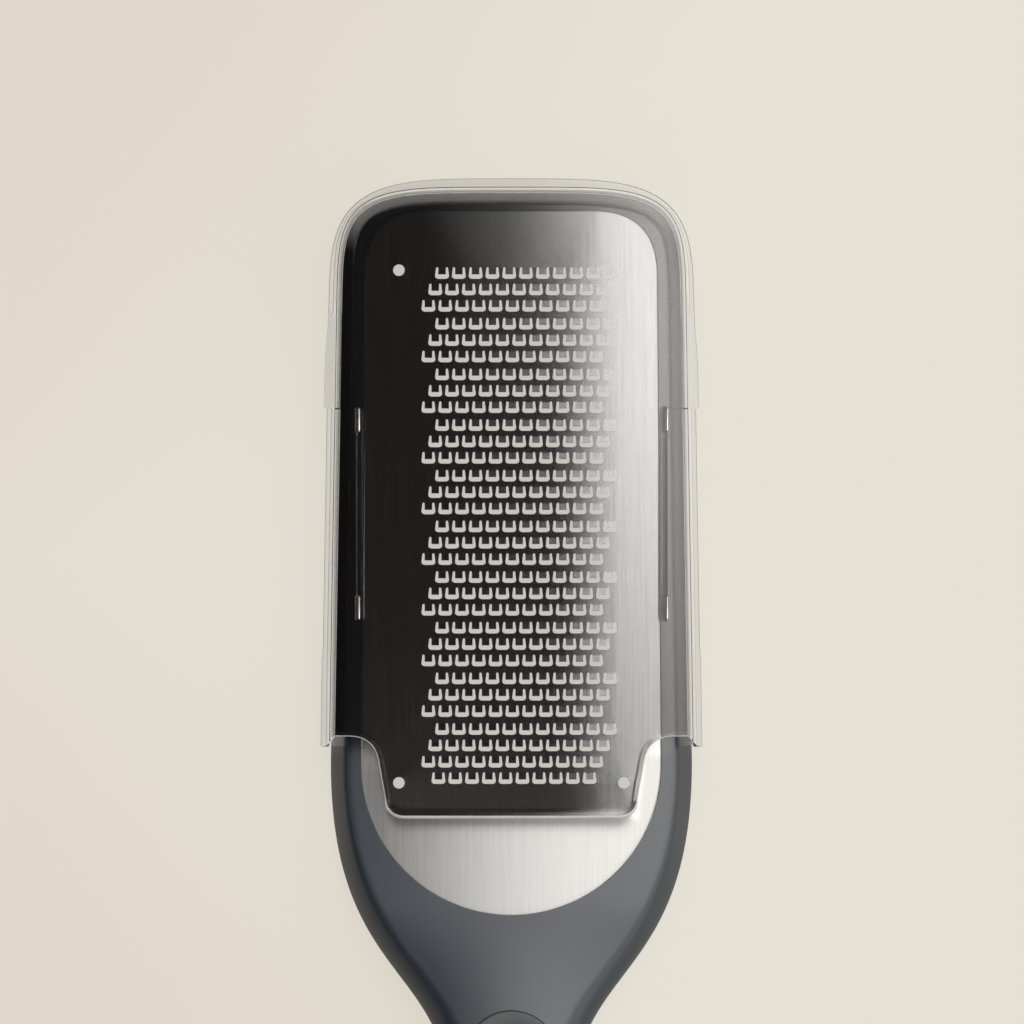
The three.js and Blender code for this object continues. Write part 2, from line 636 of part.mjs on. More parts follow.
function protectiveCover() {
  const front = MOUTH_LINE - TONGUE_LENGTH - TONGUE_CORNER;
  const steps = [
    [lerp(LEDGE_LINE, TIP_START, LEDGE_SHARE), LEDGE_STEP],
    [LEDGE_LINE, LEDGE_STEP],
    [LEDGE_LINE - STEP_RAMP, 0],
    [COLLAR_LINE, 0],
    [COLLAR_LINE - STEP_RAMP, COLLAR_STEP],
    [front, COLLAR_STEP],
  ];
  const outerForm = coverForm(COVER_WALL, COVER_ABOVE_TABLE, COVER_UNDER);
  const innerForm = coverForm(0, -COVER_WALL, 0);
  const outer = moulded(coverOutline(COVER_FIT + COVER_WALL, steps), () => outerForm);
  let hollow = moulded(coverOutline(COVER_FIT, [[front - COVER_WALL, 0]]), () => innerForm);
  const hookTop = FOOT_HEIGHT - COVER_FIT;
  const hookOuter = frameHalf(LEDGE_LINE) + COVER_FIT + COVER_WALL / 2;
  const hookInner = frameHalf(LEDGE_LINE + HOOK_LENGTH) + COVER_FIT - HOOK_REACH;
  const ribX = windowHalf(RIB_START) + RIB_INSET;
  const ribBottom = archHeight(ARCH_RADIUS, ribX - RIB_WIDTH / 2) + COVER_FIT;
  for (const side of [-1, 1]) {
    const span = (a, b) => [Math.min(side * a, side * b), Math.max(side * a, side * b)];
    const hook = block(
      ...span(hookInner, hookOuter),
      LEDGE_LINE,
      LEDGE_LINE + HOOK_LENGTH,
      hookTop - HOOK_THICKNESS,
      hookTop,
    );
    const rib = block(
      ...span(ribX - RIB_WIDTH / 2, ribX + RIB_WIDTH / 2),
      RIB_START,
      RIB_START + RIB_LENGTH,
      ribBottom,
      FAR,
    );
    hollow = hollow.subtract(hook).subtract(rib);
  }
  return outer.subtract(hollow).subtract(mouthZone());
}

// Materials
const material = (color, roughness, metalness) =>
  new THREE.MeshStandardMaterial({ color, roughness, metalness });
const charcoalPlastic = material(0x50565a, 0.5, 0);
const darkPlastic = material(0x44494c, 0.6, 0);
const softRubber = material(0x3c4143, 0.8, 0);
const steel = material(0xb9bab7, 0.3, 1);
const clearPlastic = material(0xe9eef0, 0.08, 0);
clearPlastic.transparent = true;
clearPlastic.opacity = 0.3;

function piece(name, shape, finish) {
  const { numProp, vertProperties, triVerts } = shape.getMesh();
  const geometry = new THREE.BufferGeometry();
  geometry.setAttribute("position", new THREE.BufferAttribute(vertProperties, numProp));
  geometry.setIndex(new THREE.BufferAttribute(triVerts, 1));
  geometry.computeVertexNormals();
  const mesh = new THREE.Mesh(geometry, finish);
  mesh.name = name;
  return mesh;
}

const grater = new THREE.Group();
grater.add(
  piece("main_body", mainBody(), charcoalPlastic),
  piece("handle_back", handleBack(), charcoalPlastic),
  piece("grater_blade", graterBlade(), steel),
  piece("blade_retainer", bladeRetainer(), darkPlastic),
  piece("thumb_pad", thumbPad(), softRubber),
  piece("tip_foot", tipFoot(), softRubber),
  piece("protective_cover", protectiveCover(), clearPlastic),
);
grater.position.y = -(COVER_TIP + TAIL) / 2;

export default grater;
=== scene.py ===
"""Looks of a fine hand grater: satin plastic, brushed steel and a clear cover, in a pale studio.

Sizes are millimetres in the part's own plan, where y is 0 at the centre of the blade's round end.
Places on the floor and of the lamp are metres in the shared frame.
"""

import math

import bmesh
import bpy
import numpy as np
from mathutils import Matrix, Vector
from mathutils.geometry import delaunay_2d_cdt

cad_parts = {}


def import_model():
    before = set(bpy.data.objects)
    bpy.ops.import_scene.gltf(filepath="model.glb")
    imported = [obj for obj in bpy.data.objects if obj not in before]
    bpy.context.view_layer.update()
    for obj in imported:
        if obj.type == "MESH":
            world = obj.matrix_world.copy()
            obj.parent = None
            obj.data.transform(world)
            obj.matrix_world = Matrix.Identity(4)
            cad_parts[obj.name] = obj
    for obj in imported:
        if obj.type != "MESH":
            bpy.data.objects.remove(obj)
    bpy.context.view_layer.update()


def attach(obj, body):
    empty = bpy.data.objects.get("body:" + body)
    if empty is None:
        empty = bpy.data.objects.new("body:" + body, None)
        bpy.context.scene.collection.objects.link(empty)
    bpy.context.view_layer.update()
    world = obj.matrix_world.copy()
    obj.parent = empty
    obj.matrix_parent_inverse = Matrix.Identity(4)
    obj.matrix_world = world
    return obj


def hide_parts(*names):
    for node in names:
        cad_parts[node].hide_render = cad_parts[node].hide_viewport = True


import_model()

MM = 0.001
TINY = 1e-6
WELD = 1e-7

# Fits and the blade's window
FIT = 0.3
WINDOW_WIDTH = 63
WINDOW_LENGTH = 115.9
WINDOW_CORNER = 13.4
WINDOW_DRAFT = 0.09
WINDOW_TAPER = 0.0075
ARCH_RADIUS = 250

# Blade
BLADE_THICKNESS = 0.5
SLOT_TOP_WIDTH = 2.53
SLOT_BOTTOM_WIDTH = 2.92
SLOT_HEIGHT = 2.43
SLOT_BAR = 0.93
SLOT_CORNER = (0.75, 0.62)
TONGUE_GAP = 1.57
TOOTH_LIFT = 0.12
TOOTH_RAMP = 1.1
TOOTH_PITCH = 3.52
ROW_PITCH = 3.44
GROUP_PITCH = 10.64
ROWS_PER_GROUP = 3
GROUPS = 10
TEETH = 11
ROW_SHIFT = 1.43
LAST_ROW_SHIFT = 0.35
FIRST_ROOT = 104.3
FIELD_OFFSET = 0.2
PILOT_DIAMETER = 2.42
PILOTS = ((-23.6, 103.7), (-23.6, -4), (23.6, -4))

# Frame
LIP_OVERLAP = 1
LIP_THICKNESS = 0.8
RAIL_WALL = 2.2
TIP_WALL = 0.7
SIDE_LEAN = 3.1
SIDE_TAPER = 0.0165
EDGE_ROLL = 0.6
FRAME_DEPTH = 16.3
FRAME_UNDER = 0.8
FRAME_WIDEST = 1.9
FRAME_SQUARENESS = 1.2
TIP_REACH = 28
TIP_SQUARENESS = 4.7
FOOT_HEIGHT = 2

# Handle
SHOULDER_LENGTH = 72
SHOULDER_FULLNESS = 46.3
NECK_HOLLOW = 29.8
NECK_WIDTH = 26
HANDLE_LENGTH = 95
HANDLE_CROWN = 0.0055
GRIP_WIDTH = 29
TAIL_REACH = 22
TAIL_SQUARENESS = 2.4
GRIP_LEAN = 6
GRIP_UNDER = 6
GRIP_WIDEST = 9
GRIP_SQUARENESS = 2
GRIP_RISE = 1.7
TAIL_DROP = 2.8
HANG_WIDTH = 7
HANG_LENGTH = 14
HANG_MARGIN = 6
BACK_START = 46
BACK_TAIL_MARGIN = 26
BACK_END_RADIUS = 26
SEAM_HEIGHT = 7.4

# Small pieces
RETAINER_WIDTH = 2.2
RETAINER_HEIGHT = 5
PAD_DIAMETER = 20
PAD_DROP = 61.7
PAD_DEPTH = 2.4
PAD_RIM = 1.9
PAD_DISH = 1.1
PAD_ROUND = 0.5
PAD_PROUD = 0.2
PAD_GAP = 0.12
FOOT_LENGTH = 36
FOOT_WIDTH = 2.4
FOOT_ROUND = 0.3
TENON_WIDTH = 1.2
TENON_HEIGHT = 2

# Cover
COVER_FIT = 0.3
COVER_WALL = 1.7
COVER_HEADROOM = 2.2
COVER_ARCH = 380
COVER_DRAFT = 0.15
COVER_SQUARENESS = 4.05
OUTER_FILLET = 0.25
INNER_FILLET = 1.4
COVER_ABOVE_TABLE = 0.4
RIM_BOTTOM = 0.15
RIM_SIDE = 0.2
RIM_FRONT = 0.65
MOUTH_LINE = 5.8
MOUTH_RAKE = 2.2
TONGUE_LENGTH = 17.25
TONGUE_WIDTH = 53
TONGUE_FLARE = 2
TONGUE_CORNER = 4.2
TONGUE_FILLET = 5.7
LEDGE_STEP = 0.6
LEDGE_FADE_START = 2
LEDGE_FADE_END = 8
COLLAR_STEP = 0.2
STEP_RAMP = 0.3
COLLAR_RAMP = 4
LEDGE_LINE = 74.8
COLLAR_LINE = 21
HOOK_LENGTH = 20
HOOK_REACH = 3
HOOK_THICKNESS = 1.3
RIB_WIDTH = 1.1
RIB_LENGTH = 45
RIB_END = 5.5
RIB_INSET = 0.95
RIB_START = 30
RIB_SOLE_ANGLE = 85

# Points of the cover's sheets, and the column on each side where the mouth's rim gets a pale painted
# highlight
OUTER_CORNER_POINTS = 9
INNER_CORNER_POINTS = 17
CORNER_AND_FLAT_POINTS = 18
COLUMN_MARGIN = 0.8
RIM_HIGHLIGHT_START = 15

# Edges sharper than this stay sharp, in degrees
MOULDED_EDGE = 34
PAD_EDGE = 50
BLADE_EDGE = 14
COVER_EDGE = 40

# Derived places
FRAME_CROWN = FOOT_HEIGHT + FRAME_DEPTH
ARCH_CENTRE = FRAME_CROWN - ARCH_RADIUS
BLADE_RADIUS = ARCH_RADIUS - LIP_THICKNESS - FIT
RETAINER_RADIUS = BLADE_RADIUS - BLADE_THICKNESS - FIT
FRAME_HALF = WINDOW_WIDTH / 2 + LIP_OVERLAP + FIT + RAIL_WALL + SIDE_LEAN
TIP = WINDOW_LENGTH + LIP_OVERLAP + FIT + TIP_WALL + SIDE_LEAN
TIP_START = TIP - TIP_REACH
NECK = -SHOULDER_LENGTH
TAIL = NECK - HANDLE_LENGTH
GRIP_MIDDLE = (NECK + TAIL) / 2
COVER_TIP = TIP + COVER_FIT + COVER_WALL
TONGUE_END = MOUTH_LINE - TONGUE_LENGTH
SHIFT = -(COVER_TIP + TAIL) / 2
FAR = 400

# View: the photo's scale and the point at its centre
PHOTO_WIDTH = 215.0
PHOTO_CENTRE = (0.13, 52.9)
CAMERA_HEIGHT = 3000
CAMERA_REACH = 100
SENSOR = 36

# Colours, linear
# The paper's glow; the left one is darker, as painted shade on the floor
SHADED_PAPER_LEFT = (0.723, 0.665, 0.574, 1)
PAPER_RIGHT = (0.768, 0.73, 0.648, 1)
CHARCOAL = (0.019, 0.027, 0.04)
INNER_GREY = (0.05, 0.053, 0.056)
SOFT_GREY = (0.052, 0.057, 0.061)
STEEL = (0.365, 0.362, 0.354)
CLEAR = (0.885, 0.905, 0.93)
# Pale grey on the rim along the top of the mouth: a painted highlight
RIM_HIGHLIGHT_GREY = (0.78, 0.78, 0.77)
OPEN_LIGHT = (1, 0.99, 0.97, 1)
COVERED_LIGHT = (1, 0.88, 0.78, 1)
LAMP_LIGHT = (1, 0.955, 0.9)

# Finishes
NOISE_RANGE = (0.3, 0.7)
CHARCOAL_ROUGHNESS = 0.37
COVERED_POLISH = 0.2
INNER_ROUGHNESS = 0.5
SOFT_ROUGHNESS = 0.7
ROUGHNESS_SPREAD = 0.05
CHARCOAL_GRAIN = 3000
INNER_GRAIN = 2400
SOFT_GRAIN = 2000
GRAIN_STRENGTH = 0.25
GRAIN_DEPTH = 0.00003
CLOUD_SCALE = 60
PLASTIC_TINT = 0.05
PLASTIC_SPECULAR = 0.9
BRUSH_MAP = "brushing"
BRUSH_STRETCH = (2600, 45, 45)
BRUSH_DETAIL = 4
BRUSH_STRENGTH = 0.15
BRUSH_DEPTH = 0.00001
STEEL_TINT = 0.09
STEEL_ANISOTROPY = 0.9
COVERED_STEEL = (0.1, 0.13)
WORN_STEEL = (0.39, 0.45)
WEAR_UNDER_COVER = 2
WEAR_OUTSIDE = 1
CLEAR_IOR = 1.58

# Fades: a range of the value that drives one, then its levels at both ends of that range
UP = (0, 1)
DOWN = (1, 0)

# Floor
FLOOR_HALF = 4
PAPER_BASE = 0.12
PAPER_GLOW = 0.917
# The floor's painted shade: the place along y where it reaches least far, how it bends with y, and its fade
# from left to right
PAPER_SHADE_MIDDLE = 0.065
PAPER_SHADE_SLOPE = -0.8
PAPER_SHADE_FADE = ((-0.17, -0.045), UP)
SATIN_FADE = (UP, (1, 0.4))
MIRRORED_RIGHT = ((0.036, 0.05), (0, 0.7))
MIRRORED_TIP = ((0.13, 0.142), UP)
WALL_CROSSINGS = (2, 3)

# Dome, by the parts of a direction
DOME_LEFT = ((-0.3, 0.1), (0.05, 4.9))
DOME_RIGHT = ((0.12, 0.4), (1, 0.4))
DOME_AHEAD = ((0.18, 0.32), (0.34, 1.8))
DOME_AROUND = ((-0.6, 0.9), (0.08, 1.2))
DOME_OVERHEAD = ((0.7, 0.92), UP)
COVERED_ENDS = ((0.7, 0.95), (0.035, 0.8))
COVERED_SIDES = ((0.2, 0.6), (0.35, 0))
COVERED_RIGHT = ((0.3, 0.8), (0, 0.4))

# Lamp, by u and v, which run from 0 to 1 over its face
LAMP_SIZE = 0.6
LAMP_LEVEL = 3.1
LAMP_PLACE = (0.107, -0.0124, 0.6)
LAMP_TURN = 14
LAMP_EDGE = ((0.746, 0.806), (0.457, 0.38))
LAMP_FULL = 0.606
LAMP_ALONG = ((0.425, 0.724), (0.37, 0.835))
LAMP_CORNER = ((0.76, 0.84), (0, 0.19))
LAMP_CORNER_SIDE = ((0.25, 0.505), UP)
LAMP_SPILL = ((0.637, 0.681), (0.03, 0))
LAMP_SPILL_SLOPE = 0.249
LAMP_END = ((0.82, 1), DOWN)
LAMP_STRIP_SLOPE = -0.188
LAMP_STRIP_NEAR = ((0.55, 0.59), (1, 1.8))
LAMP_STRIP_FAR = ((0.63, 0.7), (1, 0.65))


# Lines and levels

def ease(start, end, y):
    """0 at start, 1 at end and smooth between them."""
    t = min(max((y - start) / (end - start), 0), 1)
    return t * t * (3 - 2 * t)


def lerp(a, b, t):
    return a + (b - a) * t


def arch(radius, x):
    """Height of the frame's arch, or of one below it with a smaller radius."""
    return ARCH_CENTRE + math.sqrt(radius * radius - x * x)


def ceiling(x):
    """The underside of the cover's top."""
    return FRAME_CROWN + COVER_HEADROOM - COVER_ARCH + math.sqrt(COVER_ARCH * COVER_ARCH - x * x)


def frame_half(y):
    return FRAME_HALF - SIDE_TAPER * y


def window_half(y):
    return WINDOW_WIDTH / 2 - WINDOW_TAPER * y


def arc(cx, cy, radius, start, end, steps):
    angles = np.radians(np.linspace(start, end, num=steps + 1))
    return [(cx + radius * math.cos(a), cy + radius * math.sin(a)) for a in angles]


def circle(cx, cy, radius, steps):
    return arc(cx, cy, radius, 0, 360, steps)[:-1]


def bezier(points, steps):
    curve = []
    for t in np.linspace(0, 1, num=steps + 1):
        level = [np.array(p, float) for p in points]
        while len(level) > 1:
            level = [lerp(a, b, t) for a, b in zip(level, level[1:])]
        curve.append(tuple(level[0]))
    return curve


def mirrored(points):
    """The same points on the other side, in the opposite order."""
    return [(-x, *rest) for x, *rest in reversed(points)]


# Meshes

def add_object(name, data):
    thing = bpy.data.objects.new(name, data)
    bpy.context.scene.collection.objects.link(thing)
    return thing


def mesh_object(name, points, faces, tags=None):
    """A mesh whose faces may carry the number of their material."""
    mesh = bpy.data.meshes.new(name)
    mesh.from_pydata([(x * MM, (y + SHIFT) * MM, z * MM) for x, y, z in points], [], faces)
    if tags:
        mesh.materials.append(None)
        mesh.materials.append(None)
        mesh.polygons.foreach_set("material_index", tags)
    work = bmesh.new()
    work.from_mesh(mesh)
    bmesh.ops.remove_doubles(work, verts=work.verts, dist=WELD)
    bmesh.ops.dissolve_degenerate(work, edges=work.edges, dist=WELD)
    bmesh.ops.recalc_face_normals(work, faces=work.faces)
    work.to_mesh(mesh)
    work.free()
    return add_object(name, mesh)


def ringed(name, rings, ends=True):
    """A mesh through closed rings of points, with or without a face at each end."""
    count = len(rings[0])
    points = [point for ring in rings for point in ring]
    last = len(points) - count
    faces = [list(range(count)), list(range(last, last + count))] if ends else []
    for first in range(0, last, count):
        for j in range(count):
            a = first + j
            b = first + (j + 1) % count
            faces.append([a, b, b + count, a + count])
    return mesh_object(name, points, faces)


def finished(piece, name, degrees):
    """Names a piece and shades it smooth up to this angle between faces."""
    piece.name = name
    piece.data.shade_smooth()
    piece.data.set_sharp_from_angle(angle=math.radians(degrees))
    return piece


def combine(piece, *steps):
    """Joins, cuts or crosses piece with other solids, which are used up."""
    for operation, other in steps:
        modifier = piece.modifiers.new(operation.lower(), "BOOLEAN")
        modifier.operation = operation
        modifier.solver = "EXACT"
        modifier.object = other
    graph = bpy.context.evaluated_depsgraph_get()
    mesh = bpy.data.meshes.new_from_object(piece.evaluated_get(graph))
    piece.modifiers.clear()
    piece.data = mesh
    for _, other in steps:
        bpy.data.objects.remove(other)
    return piece


def prism(outline, bottom, top, upper=None):
    """A solid on an outline. upper is the outline at its top where that differs."""
    return ringed("prism", [[(x, y, bottom) for x, y in outline], [(x, y, top) for x, y in upper or outline]])


def block(x0, x1, y0, y1, z0, z1):
    return prism([(x0, y0), (x1, y0), (x1, y1), (x0, y1)], z0, z1)


def under_arch(radius):
    """All that lies under an arch of this radius."""
    reach = FRAME_HALF + COVER_WALL
    crown = [(x, arch(radius, x)) for x in np.linspace(reach, -reach, num=81)]
    profile = [(-reach, -FAR), (reach, -FAR), *crown]
    return ringed("under_arch", [[(x, y, z) for x, z in profile] for y in (-FAR, FAR)])


def window_outline(grow):
    half = WINDOW_WIDTH / 2 + grow
    x = window_half(WINDOW_LENGTH) + grow
    y = WINDOW_LENGTH + grow
    size = WINDOW_CORNER + grow
    corner = bezier([(x, y - size), (x, y), (x - size, y)], steps=24)
    return [*arc(0, 0, half, 180, 360, steps=72), *corner, *mirrored(corner)]


# Moulded forms: sections along an outline

def rounded_end(half, start, reach, squareness, steps):
    """A superellipse from the middle of an end to the side it runs into."""
    points = []
    for i in range(steps + 1):
        angle = math.pi / 2 * (1 - i / steps)
        y = start + reach * math.sin(angle) ** (2 / squareness)
        across = 0 if i == 0 else math.cos(angle) ** (2 / squareness)
        points.append((half(y) * across, y))
    return points


def swell(y):
    """Half the width of the grip."""
    return lerp(NECK_WIDTH, GRIP_WIDTH, ease(NECK, GRIP_MIDDLE, y)) / 2


def body_outline():
    """The right side of the moulding, from the tip to the tail."""
    tip = rounded_end(frame_half, TIP_START, TIP_REACH, TIP_SQUARENESS, steps=40)
    sides = [(frame_half(y), y) for y in np.linspace(TIP_START, 0, num=24)[1:-1]]
    shoulder = bezier(
        [
            (FRAME_HALF, 0),
            (FRAME_HALF, -SHOULDER_FULLNESS),
            (NECK_WIDTH / 2, NECK + NECK_HOLLOW),
            (NECK_WIDTH / 2, NECK),
        ],
        steps=56,
    )
    tail_start = TAIL + TAIL_REACH
    grip = [(swell(y), y) for y in np.linspace(NECK, tail_start, num=30)[1:-1]]
    tail = rounded_end(swell, tail_start, -TAIL_REACH, TAIL_SQUARENESS, steps=28)
    return [*tip, *sides, *shoulder, *grip, *reversed(tail)]


def outline_normals(outline):
    points = np.array(outline)
    along = np.gradient(points, axis=0)
    normals = np.stack([-along[:, 1], along[:, 0]], axis=1)
    normals /= np.linalg.norm(normals, axis=1)[:, None]
    for i, sign in ((0, 1), (len(points) - 1, -1)):
        if abs(points[i][0]) < TINY:
            normals[i] = (0, sign)
    return normals


def side_profile(form, edge, lower_steps, upper_steps):
    """Insets and heights from the underside to the top edge."""
    profile = []
    for i in range(lower_steps, 0, -1):
        angle = math.pi / 2 * i / lower_steps
        inset = form["under"] * (1 - math.cos(angle))
        profile.append((inset, form["widest"] - (form["widest"] - form["bottom"]) * math.sin(angle)))
    power = 2 / form["squareness"]
    for i in range(upper_steps + 1):
        angle = math.pi / 2 * i / upper_steps
        across = 0 if i == upper_steps else math.cos(angle) ** power
        rise_share = math.sin(angle) ** power
        profile.append((form["lean"] * (1 - across), lerp(form["widest"], edge, rise_share)))
    return profile


def resampled(line, count):
    """The same line through evenly spaced points."""
    points = np.array(line)
    steps = np.linalg.norm(np.diff(points, axis=0), axis=1)
    along = np.concatenate([[0], np.cumsum(steps)])
    places = np.linspace(0, along[-1], num=count)
    return list(zip(np.interp(places, along, points[:, 0]), np.interp(places, along, points[:, 1])))


def rolled_profile(form, corner, edge):
    """A side profile whose top edge, at corner, is rolled over to edge."""
    wall = side_profile(form, corner[1], lower_steps=8, upper_steps=18)
    start = [i for i, place in enumerate(wall) if math.dist(place, corner) >= EDGE_ROLL][-1]
    roll = bezier([wall[start], corner, edge], steps=10)
    return resampled([*wall[:start], *roll], count=34)


def section(point, normal, form):
    """A ring up one side of the moulding, over its top and down the other side."""
    reach = form["lean"] + EDGE_ROLL
    corner_x = point[0] - normal[0] * form["lean"]
    edge_x = point[0] - normal[0] * reach
    edge_y = point[1] - normal[1] * reach
    profile = rolled_profile(form, (form["lean"], form["top"](corner_x)), (reach, form["top"](edge_x)))
    side = [(point[0] - normal[0] * inset, point[1] - normal[1] * inset, z) for inset, z in profile]
    over = [(x, edge_y, form["top"](x)) for x in np.linspace(edge_x, -edge_x, num=61)[1:-1]]
    return [*side, *over, *mirrored(side)]


def rise(y):
    """How far the handle's top stands above the frame's arch."""
    grip = GRIP_RISE * ease(NECK / 2, GRIP_MIDDLE, y)
    return grip - (GRIP_RISE + TAIL_DROP) * ease(GRIP_MIDDLE, TAIL, y)


def body_form(y):
    handle = ease(0, NECK, y)
    crown = HANDLE_CROWN * ease(-WINDOW_WIDTH / 2, -PAD_DROP, y)
    return {
        "bottom": FOOT_HEIGHT * (1 - ease(NECK, GRIP_MIDDLE, y)),
        "widest": lerp(FOOT_HEIGHT + FRAME_WIDEST, GRIP_WIDEST, handle),
        "lean": lerp(SIDE_LEAN, GRIP_LEAN, handle),
        "under": lerp(FRAME_UNDER, GRIP_UNDER, handle),
        "squareness": lerp(FRAME_SQUARENESS, GRIP_SQUARENESS, handle),
        "top": lambda x: arch(ARCH_RADIUS, x) - crown * x * x + rise(y),
    }


def body_skin():
    outline = body_outline()
    rings = [section(p, n, body_form(p[1])) for p, n in zip(outline, outline_normals(outline))]
    return ringed("body_skin", rings, ends=False)


def back_zone(grow):
    """What belongs to the handle's lower shell."""
    radius = BACK_END_RADIUS + grow
    front = -BACK_START - BACK_END_RADIUS
    rear = TAIL + BACK_TAIL_MARGIN + BACK_END_RADIUS
    outline = [*arc(0, front, radius, 0, 180, steps=64), *arc(0, rear, radius, 180, 360, steps=64)]
    return prism(outline, -FAR, SEAM_HEIGHT + grow)


def blade_window():
    """The window, with a draft about the level of the blade at its sides."""
    level = arch(BLADE_RADIUS, WINDOW_WIDTH / 2)
    flare = level * WINDOW_DRAFT
    return prism(window_outline(-flare), 0, 2 * level, window_outline(flare))


def blade_pocket():
    pocket = prism(window_outline(LIP_OVERLAP + FIT), -FAR, FAR)
    return combine(pocket, ("INTERSECT", under_arch(ARCH_RADIUS - LIP_THICKNESS)))


def pad_floor():
    return FRAME_CROWN + rise(-PAD_DROP) - PAD_DEPTH


def pad_recess():
    return prism(circle(0, -PAD_DROP, PAD_DIAMETER / 2, steps=96), pad_floor(), FAR)


def hanging_hole():
    radius = HANG_WIDTH / 2
    low = TAIL + HANG_MARGIN + radius
    high = low + HANG_LENGTH - HANG_WIDTH
    outline = [*arc(0, low, radius, 180, 360, steps=32), *arc(0, high, radius, 0, 180, steps=32)]
    return prism(outline, -FAR, FAR)


def foot_place():
    return (WINDOW_LENGTH + LIP_OVERLAP + FIT + TIP - FRAME_UNDER) / 2


def foot_groove():
    y = foot_place()
    half = TENON_WIDTH / 2 + FIT
    end = FOOT_LENGTH / 2 + FIT
    return block(-end, end, y - half, y + half, -FAR, FOOT_HEIGHT + TENON_HEIGHT)


def frame_and_handle():
    body = combine(
        body_skin(),
        ("DIFFERENCE", blade_window()),
        ("DIFFERENCE", blade_pocket()),
        ("DIFFERENCE", back_zone(FIT)),
        ("DIFFERENCE", pad_recess()),
        ("DIFFERENCE", hanging_hole()),
        ("DIFFERENCE", foot_groove()),
    )
    return finished(body, "moulded_body", MOULDED_EDGE)


def lower_shell():
    shell = combine(body_skin(), ("INTERSECT", back_zone(0)))
    return finished(shell, "handle_shell", MOULDED_EDGE)


# Small pieces

def retainer_ring():
    bottom = arch(RETAINER_RADIUS, WINDOW_WIDTH / 2) - RETAINER_HEIGHT
    ring = combine(
        prism(window_outline(LIP_OVERLAP), bottom, FAR),
        ("DIFFERENCE", prism(window_outline(LIP_OVERLAP - RETAINER_WIDTH), -FAR, FAR)),
        ("INTERSECT", under_arch(RETAINER_RADIUS)),
    )
    return finished(ring, "retainer_ring", MOULDED_EDGE)


def dished_pad():
    radius = PAD_DIAMETER / 2 - PAD_GAP
    top = PAD_DEPTH - FIT + PAD_PROUD
    rim = radius - PAD_RIM
    profile = [(0, 0), (radius, 0)]
    profile += arc(radius - PAD_ROUND, top - PAD_ROUND, PAD_ROUND, 0, 90, steps=8)
    for share in np.linspace(1, 0, num=24):
        profile.append((rim * share, top - PAD_DISH * (1 - share * share)))
    base = pad_floor() + FIT
    rings = [[(x, y, base + z) for x, y in circle(0, -PAD_DROP, r, steps=96)] for r, z in profile]
    return finished(ringed("pad", rings, ends=False), "dished_pad", PAD_EDGE)


def soft_foot():
    sole = FOOT_WIDTH / 2
    tenon = TENON_WIDTH / 2
    top = FOOT_HEIGHT - FIT
    edge = arc(sole - FOOT_ROUND, FOOT_ROUND, FOOT_ROUND, 0, -90, steps=6)
    right = [(tenon, top + TENON_HEIGHT), (tenon, top), (sole, top), *edge]
    profile = [*right, *mirrored(right)]
    middle = foot_place()
    end = FOOT_LENGTH / 2
    rings = [[(x, middle + across, z) for across, z in profile] for x in (-end, end)]
    return finished(ringed("foot", rings), "soft_foot", MOULDED_EDGE)


# Blade: a flat net with U-shaped slots, bent to the arch

def slot_outline(cx, root):
    """A slot, from one end of its tongue's tip round the outside to the other end."""
    inner = TONGUE_GAP / 2
    top = SLOT_TOP_WIDTH / 2
    outer = SLOT_BOTTOM_WIDTH / 2
    low = root - SLOT_HEIGHT
    tip = low + SLOT_BAR
    cap = (top - inner) / 2
    wide, high = SLOT_CORNER
    angles = np.radians(np.linspace(0, 90, num=7))
    right = [(inner, tip), (inner, root - cap - TOOTH_RAMP)]
    right += arc(inner + cap, root - cap, cap, 180, 0, steps=6)
    right += [(outer - wide + wide * math.cos(a), low + high - high * math.sin(a)) for a in angles]
    return [(cx + x, y) for x, y in [*right, *mirrored(right)]]


def tooth_rows():
    """The root, the number of teeth and the sideways step of each row."""
    rows = []
    for i in range(GROUPS * ROWS_PER_GROUP):
        group, place = divmod(i, ROWS_PER_GROUP)
        root = FIRST_ROOT - group * GROUP_PITCH - place * ROW_PITCH
        rows.append((root, TEETH, (ROWS_PER_GROUP - 1 - place) * ROW_SHIFT))
    rows.append((root - ROW_PITCH, TEETH - 1, LAST_ROW_SHIFT))
    return rows


def blade_loops():
    """The blade's outline, then every slot and hole, each with the lift of its points."""
    edge = window_outline(LIP_OVERLAP)
    loops = [(edge, [0] * len(edge))]
    for root, teeth, shift in tooth_rows():
        for i in range(teeth):
            cx = FIELD_OFFSET + shift + (i - (teeth - 1) / 2) * TOOTH_PITCH
            outline = slot_outline(cx, root)
            lifts = [0] * len(outline)
            # The outline starts and ends with the two points of the tongue's tip and of its ramp
            lifts[:2] = lifts[-2:] = [TOOTH_LIFT] * 2
            loops.append((outline, lifts))
    for x, y in PILOTS:
        hole = circle(x, y, PILOT_DIAMETER / 2, steps=40)
        loops.append((hole, [0] * len(hole)))
    return loops


def inside(point, outline):
    x, y = point
    found = False
    for (x0, y0), (x1, y1) in zip(outline, [*outline[1:], outline[0]]):
        if (y0 > y) != (y1 > y) and x < x0 + (y - y0) / (y1 - y0) * (x1 - x0):
            found = not found
    return found


def is_steel(corners, owners, loops):
    """Whether a triangle is sheet. One with all corners on a loop may lie in a slot or past the edge."""
    if len(set(owners)) > 1:
        return True
    a, b, c = corners
    outline, _ = loops[owners[0]]
    return inside((a + b + c) / 3, outline) == (owners[0] == 0)


